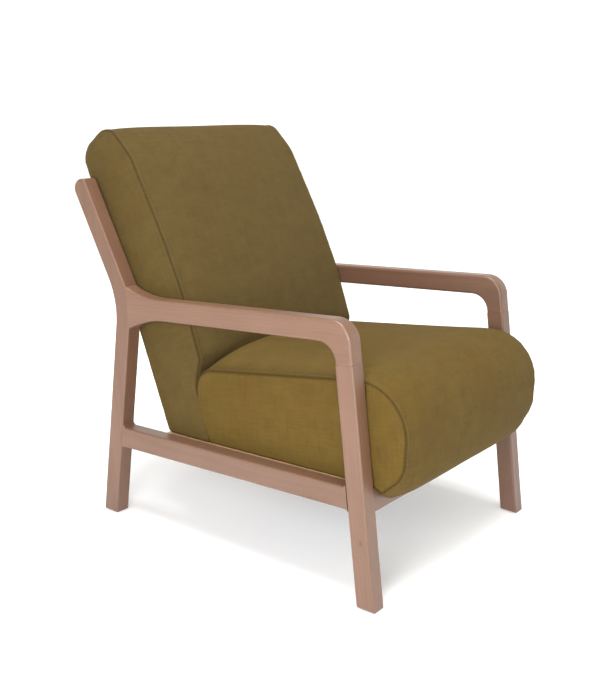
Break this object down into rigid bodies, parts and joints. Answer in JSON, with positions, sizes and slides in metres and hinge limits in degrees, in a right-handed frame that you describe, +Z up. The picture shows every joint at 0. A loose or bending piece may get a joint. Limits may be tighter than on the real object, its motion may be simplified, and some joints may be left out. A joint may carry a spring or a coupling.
{
  "type": "armchair",
  "caption": "Low wooden armchair with open side frames, sloping curved-corner armrests, a bull-nosed upholstered seat and a thick reclined upholstered back.",
  "frame": {"origin": "on the floor under the middle of the chair's width and depth", "axes": "+X to the sitter's left, as seen from in front the viewer's right; -Y is the chair's front; +Z up"},
  "size_m": [0.68, 0.8798, 0.868],
  "materials": {
    "beech": "satin lacquered beech, pinkish brown",
    "pine": "plain sawn softwood",
    "dowel_beech": "plain",
    "upholstery": "olive linen-look plain weave",
    "foam": "open-cell polyurethane foam",
    "felt": "grey needle felt",
    "lining": "black spun-bonded lining",
    "webbing": "black elastic webbing",
    "glide_plastic": "matt black",
    "steel": "zinc plated"
  },
  "bodies": {
    "root": {"front_leg_left": "beech", "front_leg_right": "beech", "rear_leg_left": "beech", "rear_leg_right": "beech", "armrest_left": "beech", "armrest_right": "beech", "side_rail_left": "beech", "side_rail_right": "beech", "front_rail": "beech", "frame_dowels_left": "dowel_beech", "frame_dowels_right": "dowel_beech", "front_rail_dowels": "dowel_beech", "foot_glides": "glide_plastic", "seat_side_board_left": "pine", "seat_side_board_right": "pine", "seat_front_board": "pine", "seat_rear_board": "pine", "back_support_board": "pine", "seat_springs": "steel", "spring_clips": "steel", "spring_pad": "felt", "seat_foam": "foam", "seat_cover": "upholstery", "dust_cover": "lining", "back_upright_left": "pine", "back_upright_right": "pine", "back_top_board": "pine", "back_middle_board": "pine", "back_bottom_board": "pine", "back_webbing": "webbing", "back_foam": "foam", "back_cover": "upholstery", "seat_bolts": "steel", "seat_bolt_washers": "steel", "seat_bolt_inserts": "steel", "back_bolts": "steel", "back_bolt_washers": "steel", "back_bolt_inserts": "steel", "back_foot_screws": "steel"}
  },
  "joints": []
}
